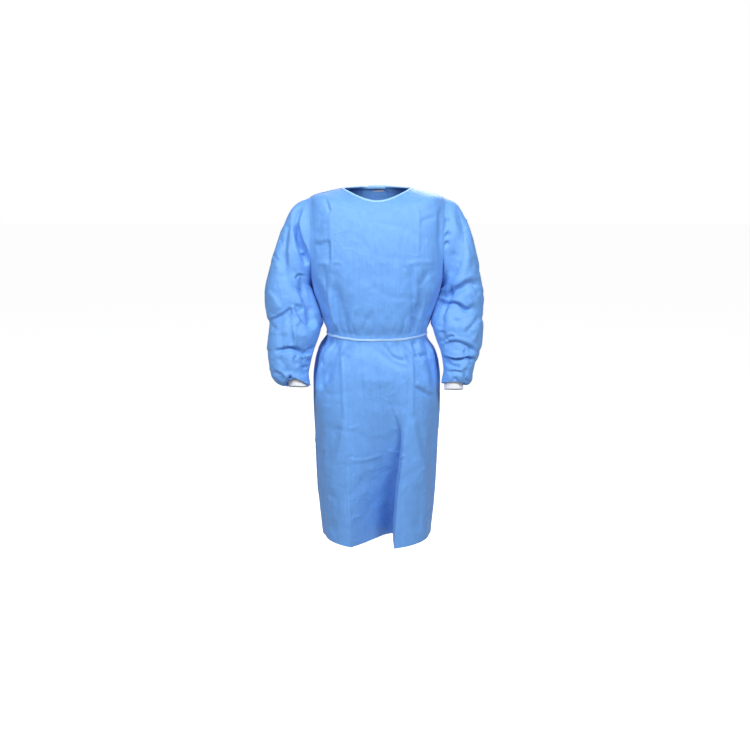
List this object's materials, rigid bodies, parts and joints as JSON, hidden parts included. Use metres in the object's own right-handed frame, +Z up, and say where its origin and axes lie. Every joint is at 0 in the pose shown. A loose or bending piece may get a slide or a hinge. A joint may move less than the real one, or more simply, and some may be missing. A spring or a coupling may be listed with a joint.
{
  "type": "surgical gown",
  "caption": "Worn surgical gown with long sleeves, knit cuffs, a round neck bound with a strip, an open back that overlaps and a narrow waist tie.",
  "frame": {"origin": "between the shoulders at the level of the neck ends of the shoulder seams, in the plane of those seams, where the wearer's shoulders hold the gown", "axes": "+Z up, the front faces -Y, +X towards the viewer's right (the wearer's left)"},
  "size_m": [0.6714, 0.3102, 1.1005],
  "materials": {
    "gown_cloth": "soft blue spunbond nonwoven with a fine embossed dot pattern",
    "knit": "white rib knit",
    "binding": "pale blue folded nonwoven strip",
    "tie": "pale blue nonwoven tie, rolled narrow",
    "fastening_tape": "pale hook and loop tape"
  },
  "bodies": {
    "root": {"front": "gown_cloth", "back_left": "gown_cloth", "back_right": "gown_cloth", "sleeve_left": "gown_cloth", "sleeve_right": "gown_cloth", "cuff_left": "knit", "cuff_right": "knit", "neck_binding": "binding", "belt": "tie", "belt_knot": "tie", "belt_end_left": "tie", "belt_end_right": "tie", "loop_tape": "fastening_tape", "hook_tape": "fastening_tape"}
  },
  "joints": []
}
